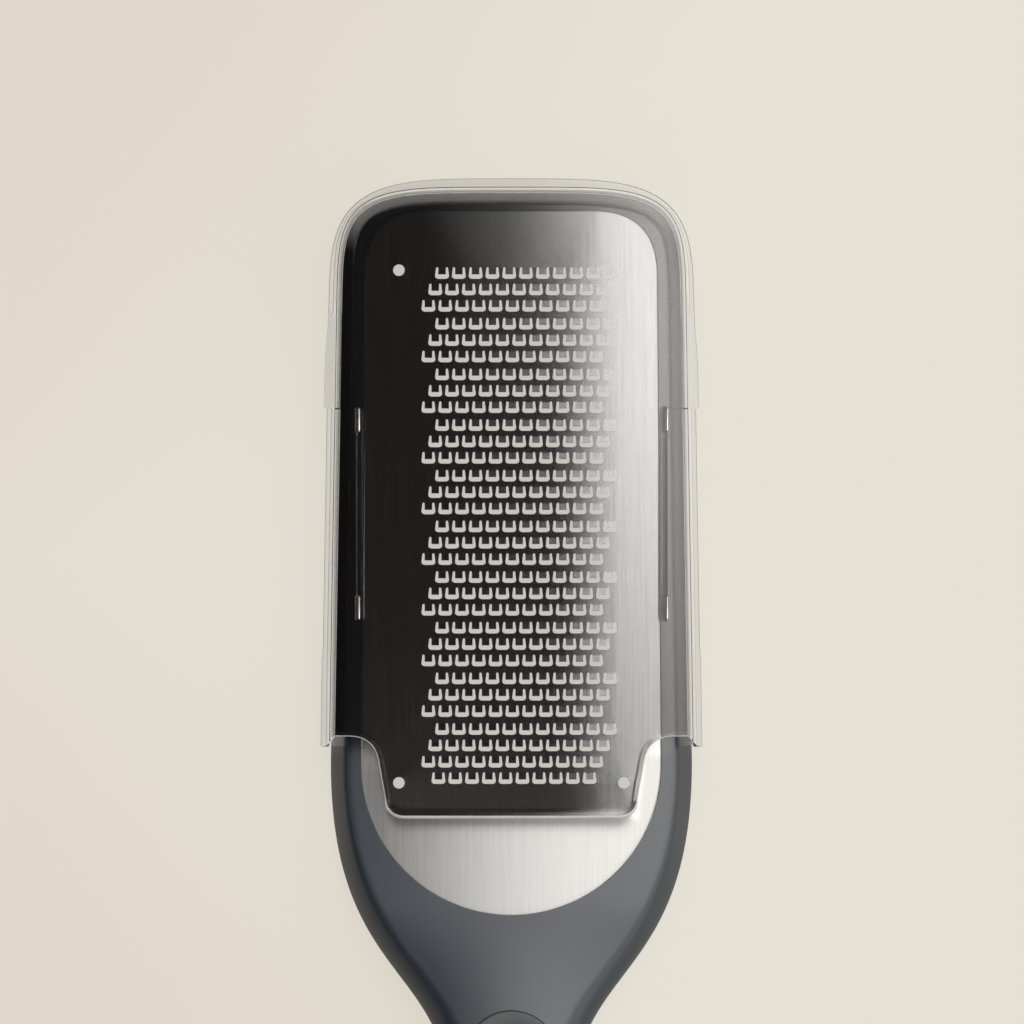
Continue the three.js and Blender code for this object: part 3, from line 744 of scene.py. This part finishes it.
def blade_net():
    """Points, lifts and triangles of the flat blade."""
    points = []
    lifts = []
    edges = []
    owner = []
    loops = blade_loops()
    for k, (outline, loop_lifts) in enumerate(loops):
        first = len(points)
        count = len(outline)
        points += [Vector(p) for p in outline]
        lifts += loop_lifts
        owner += [k] * count
        edges += [(first + i, first + (i + 1) % count) for i in range(count)]
        if any(loop_lifts):
            # The lines where the tongue bends
            edges += [(first + 1, first + count - 2), (first + 2, first + count - 3)]
    flat, _, triangles, sources, _, _ = delaunay_2d_cdt(points, edges, [], 0, TINY)
    index = [source[0] for source in sources]
    steel = [t for t in triangles if is_steel([flat[i] for i in t], [owner[index[i]] for i in t], loops)]
    return [(p.x, p.y) for p in flat], [lifts[i] for i in index], steel


def lay_brushing(mesh):
    """A map whose first axis runs along the blade."""
    layer = mesh.uv_layers.new(name=BRUSH_MAP)
    for loop in mesh.loops:
        place = mesh.vertices[loop.vertex_index].co
        layer.data[loop.index].uv = (place.y, place.x)


def etched_blade():
    flat, lifts, triangles = blade_net()
    count = len(flat)
    top = [(x, y, arch(BLADE_RADIUS, x) + lift) for (x, y), lift in zip(flat, lifts)]
    points = [*top, *[(x, y, z - BLADE_THICKNESS) for x, y, z in top]]
    faces = [list(t) for t in triangles]
    faces += [[count + c, count + b, count + a] for a, b, c in triangles]
    border = set()
    for a, b, c in triangles:
        border |= {(a, b), (b, c), (c, a)}
    faces += [[a, count + a, count + b, b] for a, b in border if (b, a) not in border]
    blade = mesh_object("blade", points, faces)
    lay_brushing(blade.data)
    return finished(blade, "etched_blade", BLADE_EDGE)


# Cover: an outer and an inner sheet on one grid, closed by a rounded rim

def mouth_curve():
    """The right half of the cover's front edge, from the rail to the middle of the tongue."""
    tongue = TONGUE_WIDTH / 2
    root = tongue + TONGUE_FLARE
    lean = TONGUE_FLARE * TONGUE_FILLET / TONGUE_LENGTH
    fillet_end = (root - lean, MOUTH_LINE - TONGUE_FILLET)
    corner_start = (tongue, TONGUE_END + TONGUE_CORNER)
    corner_end = (tongue - TONGUE_CORNER, TONGUE_END)
    fillet = bezier([(root + TONGUE_FILLET, MOUTH_LINE), (root, MOUTH_LINE), fillet_end], steps=10)
    side = [tuple(p) for p in np.linspace(fillet_end, corner_start, num=9)[1:-1]]
    corner = bezier([corner_start, (tongue, TONGUE_END), corner_end], steps=10)
    middle = [(x, TONGUE_END) for x in np.linspace(corner_end[0], 0, num=18)[1:]]
    return [*fillet, *side, *corner, *middle]


def rim_radius(y):
    """Rounding of the cover's front edge, fullest at the end of the tongue."""
    return lerp(RIM_FRONT, RIM_SIDE, ease(TONGUE_END, TONGUE_END + TONGUE_CORNER, y))


def inset_curve(curve):
    """The front edge, drawn back by its rounding."""
    points = np.array(curve)
    along = np.gradient(points, axis=0)
    along /= np.linalg.norm(along, axis=1)[:, None]
    normals = np.stack([along[:, 1], -along[:, 0]], axis=1)
    normals[-1] = (0, 1)
    return points + normals * [[rim_radius(y)] for _, y in curve]


def cover_form(wall):
    return {
        "bottom": COVER_ABOVE_TABLE + RIM_BOTTOM,
        "fillet": OUTER_FILLET if wall else INNER_FILLET,
        "corner_points": OUTER_CORNER_POINTS if wall else INNER_CORNER_POINTS,
        "lean": wall + COVER_DRAFT + INNER_FILLET,
        "top": lambda x: ceiling(x) + wall,
    }


def cover_step(y):
    """How far the finger ledge and the mouth's collar stand out at y."""
    if y > LEDGE_LINE - STEP_RAMP / 2:
        return LEDGE_STEP * ease(TIP_START + LEDGE_FADE_START, LEDGE_LINE + LEDGE_FADE_END, y)
    return COLLAR_STEP * ease(COLLAR_LINE + COLLAR_RAMP, COLLAR_LINE, y)


def wall_profile(form, top_at):
    """Insets and heights of a cover wall: upright, round at the corner, then flat up to its full inset."""
    radius = form["fillet"]
    corner = top_at(COVER_DRAFT + radius) - radius
    profile = [(COVER_DRAFT * t, lerp(form["bottom"], corner, t)) for t in (0, 1 / 3, 2 / 3)]
    for a in np.radians(np.linspace(0, 90, num=form["corner_points"])):
        profile.append((COVER_DRAFT + radius * (1 - math.cos(a)), corner + radius * math.sin(a)))
    flat_points = CORNER_AND_FLAT_POINTS - form["corner_points"]
    flat = np.linspace(COVER_DRAFT + radius, form["lean"], num=flat_points)
    return [*profile, *[(inset, top_at(inset)) for inset in flat[1:]]]


def cover_ring(point, normal, form, across, fronts=None):
    """One section of a sheet. fronts gives each column's y where the ring isn't straight."""
    edge_x = point[0] - normal[0] * form["lean"]
    edge_y = point[1] - normal[1] * form["lean"]
    profile = wall_profile(form, lambda inset: form["top"](point[0] - normal[0] * inset))
    side = [(point[0] - normal[0] * inset, point[1] - normal[1] * inset, z) for inset, z in profile]
    shrink = min(1, edge_x / (across[0] + COLUMN_MARGIN))
    over = [(x * shrink, edge_y, form["top"](x * shrink)) for x in across]
    half = [*side, *over]
    if fronts:
        half = [(x, y, z) for (x, _, z), y in zip(half, fronts)]
    return [*half, *mirrored(half[:-1])]


def mouth_ends(wall, form, curve):
    """Where each column of a sheet ends: raked on the wall, then along the front edge."""
    insets = [inset for inset, _ in wall_profile(form, ceiling)]
    shares = np.clip([(inset - wall - COVER_DRAFT) / INNER_FILLET for inset in insets], 0, 1)
    ends = [MOUTH_LINE + RIM_SIDE - MOUTH_RAKE * (1 - share) ** 2 for share in shares]
    return [*ends, *[y for _, y in curve]]


def cover_sheet(wall):
    """Rings of the outer sheet, or of the inner one where wall is 0, from the tip to the mouth."""
    form = cover_form(wall)
    grow = COVER_FIT + wall
    curve = inset_curve(mouth_curve())
    across = [x for x, _ in curve]

    def half(y):
        return frame_half(y) + grow + (cover_step(y) if wall else 0)

    squareness = COVER_SQUARENESS if wall else TIP_SQUARENESS
    tip = rounded_end(half, TIP_START, TIP_REACH + grow, squareness, steps=44)
    stations = [
        *np.linspace(TIP_START, LEDGE_LINE, num=16)[1:],
        *np.linspace(LEDGE_LINE - STEP_RAMP, COLLAR_LINE + COLLAR_RAMP, num=24),
        *np.linspace(COLLAR_LINE + COLLAR_RAMP, COLLAR_LINE, num=9)[1:],
    ]
    rings = [cover_ring(p, n, form, across) for p, n in zip(tip, outline_normals(tip))]
    rings += [cover_ring((half(y), y), (1, 0), form, across) for y in stations]
    ends = mouth_ends(wall, form, curve)
    for t in np.linspace(0, 1, num=19)[1:]:
        y = lerp(COLLAR_LINE, MOUTH_LINE, t)
        fronts = [lerp(COLLAR_LINE, end, t) for end in ends]
        rings.append(cover_ring((half(y), y), (1, 0), form, across, fronts))
    return rings


def sheet_faces(grid):
    """Faces of one sheet on its grid of point numbers."""
    faces = []
    for this, following in zip(grid, grid[1:]):
        for j in range(len(this) - 1):
            faces.append([this[j], this[j + 1], following[j + 1], following[j]])
    return faces


def front_directions(edge):
    """Level directions out of the cover's front edge."""
    along = np.gradient(edge[:, :2], axis=0)
    front = np.zeros((len(edge), 3))
    front[:, 0] = -along[:, 1]
    front[:, 1] = along[:, 0]
    front /= np.linalg.norm(front, axis=1)[:, None]
    return front * np.where(front[:, 1:2] > 0, -1, 1)


def rim_places(outer):
    """Ring, column, way out and rounding of each point round a sheet's border."""
    last = len(outer) - 1
    end = len(outer[0]) - 1
    down = np.array((0, 0, -1.0))
    places = [(i, 0, down, RIM_BOTTOM) for i in range(last)]
    for j, out in enumerate(front_directions(outer[last])):
        if j in (0, end):
            places.append((last, j, (down + out) / math.sqrt(2), RIM_BOTTOM))
        else:
            places.append((last, j, out, rim_radius(outer[last, j, 1] - RIM_FRONT)))
    return [*places, *[(i, end, down, RIM_BOTTOM) for i in range(last - 1, -1, -1)]]


def rim_profile(radius):
    """Share of the wall and distance out, from the outer sheet to the inner one."""
    share = radius / COVER_WALL
    angles = np.radians(np.linspace(0, 90, num=5)[1:])
    outer = [(share * (1 - math.cos(a)), radius * math.sin(a)) for a in angles]
    return [*outer, *[(1 - t, d) for t, d in reversed(outer)]]


def cover_shell():
    """Both sheets and the rim between them, which along the top of the mouth is painted pale as a highlight.
    """
    outer = np.array(cover_sheet(COVER_WALL))
    inner = np.array(cover_sheet(0))
    rings, count, _ = outer.shape
    grid = np.arange(rings * count).reshape(rings, count)
    points = [*outer.reshape(-1, 3), *inner.reshape(-1, 3)]
    faces = [*sheet_faces(grid), *sheet_faces(grid + rings * count)]
    tags = [0] * len(faces)
    lines = []
    for i, j, out, radius in rim_places(outer):
        line = [grid[i, j]]
        for share, distance in rim_profile(radius):
            line.append(len(points))
            points.append(lerp(outer[i, j], inner[i, j], share) + out * distance)
        lines.append([*line, grid[i, j] + rings * count])
    for column, (a, b) in enumerate(zip(lines, lines[1:]), start=1 - rings):
        faces += [[a[k], b[k], b[k + 1], a[k + 1]] for k in range(len(a) - 1)]
        # The rim along the top of the mouth takes the painted highlight
        tags += [int(RIM_HIGHLIGHT_START <= column < count - RIM_HIGHLIGHT_START)] * (len(a) - 1)
    return mesh_object("cover_shell", points, faces, tags)


def rib_end(x, start, low, top):
    """One end of a guide rib: a short bar along y with a round underside and round ends."""
    radius = RIB_WIDTH / 2
    angles = np.radians(np.linspace(RIB_SOLE_ANGLE, 0, num=9))
    levels = [(radius * math.cos(a), low + radius - radius * math.sin(a)) for a in angles]
    rings = []
    for size, z in [*levels, (radius, top)]:
        near = arc(x, start + radius, size, 180, 360, steps=16)
        far = arc(x, start + RIB_END - radius, size, 0, 180, steps=16)
        rings.append([(px, py, z) for px, py in [*near, *far]])
    return ringed("rib_end", rings)


def guide_rib(side):
    """The solids of the rib above one rail."""
    radius = RIB_WIDTH / 2
    from_middle = window_half(RIB_START) + RIB_INSET
    low = arch(ARCH_RADIUS, from_middle - radius) + COVER_FIT
    top = ceiling(from_middle) + COVER_WALL / 2
    x = side * from_middle
    end = RIB_START + RIB_LENGTH
    return [
        rib_end(x, RIB_START, low, top),
        rib_end(x, end - RIB_END, low, top),
        block(x - radius, x + radius, RIB_START + radius, end - radius, low + radius, top),
    ]


def hook(side):
    """The hook under one rail."""
    top = FOOT_HEIGHT - COVER_FIT
    outer = frame_half(LEDGE_LINE) + COVER_FIT + COVER_WALL / 2
    inner = frame_half(LEDGE_LINE + HOOK_LENGTH) + COVER_FIT - HOOK_REACH
    x0, x1 = sorted((side * inner, side * outer))
    return block(x0, x1, LEDGE_LINE, LEDGE_LINE + HOOK_LENGTH, top - HOOK_THICKNESS, top)


def clear_cover():
    shell = cover_shell()
    fittings = [solid for side in (-1, 1) for solid in (*guide_rib(side), hook(side))]
    combine(shell, *[("UNION", solid) for solid in fittings])
    return finished(shell, "clear_cover", COVER_EDGE)


# Shading

class Graph:
    """The nodes of a material, the world or a lamp. A value is a number, a colour or a socket."""

    def __init__(self, tree):
        self.nodes = tree.nodes
        self.links = tree.links

    def add(self, kind, **settings):
        node = self.nodes.new("ShaderNode" + kind)
        for name, setting in settings.items():
            setattr(node, name, setting)
        return node

    def feed(self, socket, value):
        if isinstance(value, bpy.types.NodeSocket):
            self.links.new(value, socket)
        else:
            socket.default_value = value

    def feed_all(self, node, **values):
        """Feeds inputs by their names, written with _ for a space."""
        for name, value in values.items():
            self.feed(node.inputs[name.replace("_", " ")], value)

    def calc(self, operation, *values):
        node = self.add("Math", operation=operation)
        for socket, value in zip(node.inputs, values):
            self.feed(socket, value)
        return node.outputs[0]

    def product(self, first, *others):
        for other in others:
            first = self.calc("MULTIPLY", first, other)
        return first

    def slanted(self, first, second, slope):
        """first plus slope times second."""
        return self.calc("MULTIPLY_ADD", second, slope, first)

    def map_range(self, value, source, target, interpolation):
        node = self.add("MapRange", interpolation_type=interpolation)
        self.feed_all(node, Value=value, From_Min=source[0], From_Max=source[1])
        self.feed_all(node, To_Min=target[0], To_Max=target[1])
        return node.outputs["Result"]

    def fade(self, value, source, target):
        """A smooth step between two levels."""
        return self.map_range(value, source, target, "SMOOTHSTEP")

    def spread(self, noise, levels):
        """Spreads a noise between two levels."""
        return self.map_range(noise, NOISE_RANGE, levels, "LINEAR")

    def mix(self, kind, share, low, high):
        node = self.add("Mix", data_type=kind)
        self.feed_all(node, Factor=share, A=low, B=high)
        return node.outputs["Result"]

    def axes(self, kind, output):
        """The three parts of a coordinate."""
        parts = self.add("SeparateXYZ")
        self.feed(parts.inputs[0], self.add(kind).outputs[output])
        return parts.outputs

    def ray(self, name):
        return self.add("LightPath").outputs[name]

    def noise(self, scale, stretch=(1, 1, 1), detail=3):
        mapping = self.add("Mapping")
        self.feed_all(mapping, Vector=self.add("TexCoord").outputs["Object"], Scale=stretch)
        texture = self.add("TexNoise")
        self.feed_all(texture, Vector=mapping.outputs["Vector"], Scale=scale, Detail=detail)
        return texture.outputs["Fac"]

    def tint(self, noise, colour, spread):
        """Spreads a noise over lighter and darker tones of a colour."""
        ramp = self.add("ValToRGB")
        for stop, place, level in zip(ramp.color_ramp.elements, NOISE_RANGE, (1 - spread, 1 + spread)):
            stop.position = place
            stop.color = [c * level for c in colour] + [1]
        self.feed(ramp.inputs["Fac"], noise)
        return ramp.outputs["Color"]

    def bump(self, noise, strength, depth):
        node = self.add("Bump")
        self.feed_all(node, Height=noise, Strength=strength, Distance=depth)
        return node.outputs["Normal"]


def new_material(name):
    """A material, its graph and its shader."""
    material = bpy.data.materials.new(name)
    material.use_nodes = True
    graph = Graph(material.node_tree)
    return material, graph, graph.nodes["Principled BSDF"]


# Materials

def open_end(graph):
    """1 where the cover leaves the part open, beyond its tongue and beside it, else 0."""
    x, y, _ = graph.axes("TexCoord", "Object")
    under = WEAR_UNDER_COVER * MM
    out = WEAR_OUTSIDE * MM
    slope = TONGUE_FLARE / TONGUE_LENGTH
    end = (TONGUE_END + SHIFT) * MM
    mouth = (MOUTH_LINE + SHIFT) * MM
    side = TONGUE_WIDTH / 2 * MM - end * slope
    from_side = graph.slanted(graph.calc("ABSOLUTE", x), y, -slope)
    beside = graph.fade(from_side, (side - under, side + out), UP)
    below = graph.fade(y, (mouth - TONGUE_FILLET * MM, mouth), DOWN)
    beyond = graph.fade(y, (end - out, end + under), DOWN)
    return graph.calc("MAXIMUM", graph.product(beside, below), beyond)


def moulded_plastic(name, colour, roughness, grain, polish=0):
    """Satin plastic or rubber. polish is how much smoother it is where the cover keeps it."""
    material, graph, shader = new_material(name)
    cloud = graph.noise(CLOUD_SCALE)
    speck = graph.noise(grain)
    levels = (roughness - ROUGHNESS_SPREAD, roughness + ROUGHNESS_SPREAD)
    kept = graph.spread(speck, [level - polish for level in levels])
    handled = graph.spread(speck, levels)
    graph.feed_all(
        shader,
        Base_Color=graph.tint(cloud, colour, PLASTIC_TINT),
        Roughness=graph.mix("FLOAT", open_end(graph), kept, handled),
        Normal=graph.bump(speck, GRAIN_STRENGTH, GRAIN_DEPTH),
        Specular_IOR_Level=PLASTIC_SPECULAR,
    )
    return material


def charcoal_plastic():
    return moulded_plastic("charcoal_plastic", CHARCOAL, CHARCOAL_ROUGHNESS, CHARCOAL_GRAIN, COVERED_POLISH)


def inner_plastic():
    return moulded_plastic("inner_plastic", INNER_GREY, INNER_ROUGHNESS, INNER_GRAIN)


def soft_rubber():
    return moulded_plastic("soft_rubber", SOFT_GREY, SOFT_ROUGHNESS, SOFT_GRAIN)


def brushed_steel():
    """Steel brushed along the blade, bright under the cover and duller where it is open."""
    material, graph, shader = new_material("brushed_steel")
    streak = graph.noise(1, BRUSH_STRETCH, BRUSH_DETAIL)
    covered = graph.spread(streak, COVERED_STEEL)
    worn = graph.spread(streak, WORN_STEEL)
    tangent = graph.add("Tangent", direction_type="UV_MAP", uv_map=BRUSH_MAP)
    graph.feed_all(
        shader,
        Metallic=1,
        Base_Color=graph.tint(streak, STEEL, STEEL_TINT),
        Roughness=graph.mix("FLOAT", open_end(graph), covered, worn),
        Normal=graph.bump(streak, BRUSH_STRENGTH, BRUSH_DEPTH),
        Anisotropic=STEEL_ANISOTROPY,
        Tangent=tangent.outputs["Tangent"],
    )
    return material


def see_through(name, colour, tint, scale, transmission, roughness):
    material, graph, shader = new_material(name)
    graph.feed_all(
        shader,
        Base_Color=graph.tint(graph.noise(scale), colour, tint),
        Transmission_Weight=transmission,
        Roughness=roughness,
        IOR=CLEAR_IOR,
    )
    return material


def clear_plastic():
    return see_through("clear_plastic", CLEAR, tint=0.006, scale=40, transmission=1, roughness=0)


# A pale, half-clear finish on the mouth's rim: a painted highlight for the bright line along its edge
def painted_rim_highlight():
    return see_through("painted_rim_highlight", RIM_HIGHLIGHT_GREY, tint=0.05, scale=300, transmission=0.3, roughness=0.3)


def dress(piece, materials, body, node):
    slots = piece.data.materials
    while len(slots) < len(materials):
        slots.append(None)
    for i, material in enumerate(materials):
        slots[i] = material
    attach(piece, body)
    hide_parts(node)


def dress_all():
    charcoal = charcoal_plastic()
    soft_grey = soft_rubber()
    dress(frame_and_handle(), [charcoal], "grater", "main_body")
    dress(lower_shell(), [charcoal], "grater", "handle_back")
    dress(etched_blade(), [brushed_steel()], "grater", "grater_blade")
    dress(retainer_ring(), [inner_plastic()], "grater", "blade_retainer")
    dress(dished_pad(), [soft_grey], "grater", "thumb_pad")
    dress(soft_foot(), [soft_grey], "grater", "tip_foot")
    dress(clear_cover(), [clear_plastic(), painted_rim_highlight()], "cover", "protective_cover")


# Studio

def plain_rays(graph):
    """1 for what is seen directly or in the cover's walls, 0 for light that reaches another piece."""
    deep = graph.fade(graph.ray("Transmission Depth"), WALL_CROSSINGS, UP)
    within = graph.product(graph.ray("Glossy Depth"), deep)
    total = graph.calc("ADD", within, graph.ray("Diffuse Depth"))
    return graph.fade(total, UP, DOWN)


def rough_mirror(graph):
    """1 for a ray that comes from a satin surface, else 0."""
    satin = graph.fade(graph.ray("Is Singular Ray"), UP, DOWN)
    return graph.product(satin, graph.ray("Is Glossy Ray"))


def mirrored_floor(graph, x, y):
    """How bright the floor is in the shiny sides of the part: only on the right and beyond the tip."""
    sharp = graph.fade(graph.ray("Diffuse Depth"), UP, DOWN)
    either = graph.calc("MAXIMUM", graph.fade(x, *MIRRORED_RIGHT), graph.fade(y, *MIRRORED_TIP))
    return graph.product(sharp, either)


def pale_paper():
    """Paper whose tone is mostly its own glow, painted darker to the left as shade. The rest of it takes
    light and the part's shadow.
    """
    material, graph, shader = new_material("pale_paper")
    x, y, _ = graph.axes("TexCoord", "Object")
    # Painted shade: the glow darkens to the left, reaching further right towards both ends along y
    from_middle = graph.calc("ABSOLUTE", graph.calc("SUBTRACT", y, PAPER_SHADE_MIDDLE))
    side = graph.fade(graph.slanted(x, from_middle, PAPER_SHADE_SLOPE), *PAPER_SHADE_FADE)
    plain = graph.product(plain_rays(graph), graph.fade(rough_mirror(graph), *SATIN_FADE))
    seen = graph.calc("MAXIMUM", plain, mirrored_floor(graph, x, y))
    red, green, blue, _ = PAPER_RIGHT
    graph.feed_all(
        shader,
        Base_Color=(PAPER_BASE * red, PAPER_BASE * green, PAPER_BASE * blue, 1),
        Roughness=1,
        Specular_IOR_Level=0,
        Emission_Color=graph.mix("RGBA", side, SHADED_PAPER_LEFT, PAPER_RIGHT),
        Emission_Strength=graph.product(seen, PAPER_GLOW),
    )
    return material


def floor():
    half = FLOOR_HALF
    corners = [(-half, -half, 0), (half, -half, 0), (half, half, 0), (-half, half, 0)]
    mesh = bpy.data.meshes.new("floor")
    mesh.from_pydata(corners, [], [(0, 1, 2, 3)])
    mesh.materials.append(pale_paper())
    plane = add_object("floor", mesh)


def open_dome(graph, x, y, z):
    """The dome that the open pieces see, with its bright part overhead, towards the tip."""
    around = graph.fade(x, *DOME_AROUND)
    peak = graph.product(graph.fade(x, *DOME_LEFT), graph.fade(x, *DOME_RIGHT), graph.fade(y, *DOME_AHEAD))
    return graph.mix("FLOAT", graph.fade(z, *DOME_OVERHEAD), around, peak)


def covered_dome(graph, x, y, z):
    """The dome that the clear cover sees: its ends, front and back, its low sides and its right."""
    ends = graph.fade(graph.calc("ABSOLUTE", y), *COVERED_ENDS)
    sides = graph.product(graph.fade(z, *COVERED_SIDES), plain_rays(graph))
    right = graph.fade(x, *COVERED_RIGHT)
    return graph.calc("ADD", graph.calc("ADD", ends, sides), right)


def world():
    """A dome that rays through the clear cover, or mirrored in it, see as the cover's own."""
    dome = bpy.data.worlds.new("dome")
    bpy.context.scene.world = dome
    dome.use_nodes = True
    graph = Graph(dome.node_tree)
    place = graph.axes("TexCoord", "Generated")
    clear_ray = graph.calc("MAXIMUM", graph.ray("Is Singular Ray"), graph.ray("Transmission Depth"))
    covered = graph.fade(clear_ray, UP, UP)
    graph.feed_all(
        graph.nodes["Background"],
        Strength=graph.mix("FLOAT", covered, open_dome(graph, *place), covered_dome(graph, *place)),
        Color=graph.mix("RGBA", covered, OPEN_LIGHT, COVERED_LIGHT),
    )


def lamp_glow(graph):
    """Strength over the lamp's face: a bright strip that fades to the left, the far end and the handle."""
    u, v, _ = graph.axes("NewGeometry", "Parametric")
    across = graph.fade(u, (graph.fade(v, *LAMP_EDGE), LAMP_FULL), UP)
    corner = graph.product(graph.fade(v, *LAMP_CORNER), graph.fade(u, *LAMP_CORNER_SIDE))
    spill = graph.fade(graph.slanted(v, u, LAMP_SPILL_SLOPE), *LAMP_SPILL)
    dim = graph.calc("ADD", corner, spill)
    strip = graph.slanted(u, v, LAMP_STRIP_SLOPE)
    near = graph.fade(strip, *LAMP_STRIP_NEAR)
    far = graph.fade(strip, *LAMP_STRIP_FAR)
    bright = graph.product(near, far, graph.fade(v, *LAMP_ALONG))
    lit = graph.mix("FLOAT", across, dim, bright)
    return graph.product(lit, graph.fade(v, *LAMP_END))


def softbox():
    """A square soft lamp overhead, off to the right, that shows only in reflections."""
    lamp = bpy.data.lights.new("softbox", "AREA")
    lamp.shape = "RECTANGLE"
    lamp.size = LAMP_SIZE
    lamp.size_y = LAMP_SIZE
    lamp.energy = LAMP_LEVEL * math.pi * LAMP_SIZE * LAMP_SIZE
    lamp.color = LAMP_LIGHT
    lamp.use_nodes = True
    graph = Graph(lamp.node_tree)
    graph.feed_all(graph.nodes["Emission"], Strength=lamp_glow(graph))
    box = add_object("softbox", lamp)
    box.location = LAMP_PLACE
    box.rotation_euler = (0, 0, math.radians(LAMP_TURN))
    box.visible_diffuse = False


def camera():
    lens = bpy.data.cameras.new("camera")
    lens.sensor_width = SENSOR
    lens.lens = SENSOR * (CAMERA_HEIGHT - FRAME_CROWN) / PHOTO_WIDTH
    lens.clip_end = CAMERA_REACH
    view = add_object("camera", lens)
    x, y = PHOTO_CENTRE
    view.location = (x * MM, (y + SHIFT) * MM, CAMERA_HEIGHT * MM)
    bpy.context.scene.camera = view


camera()
dress_all()
floor()
world()
softbox()
bpy.context.scene.view_settings.view_transform = "Standard"
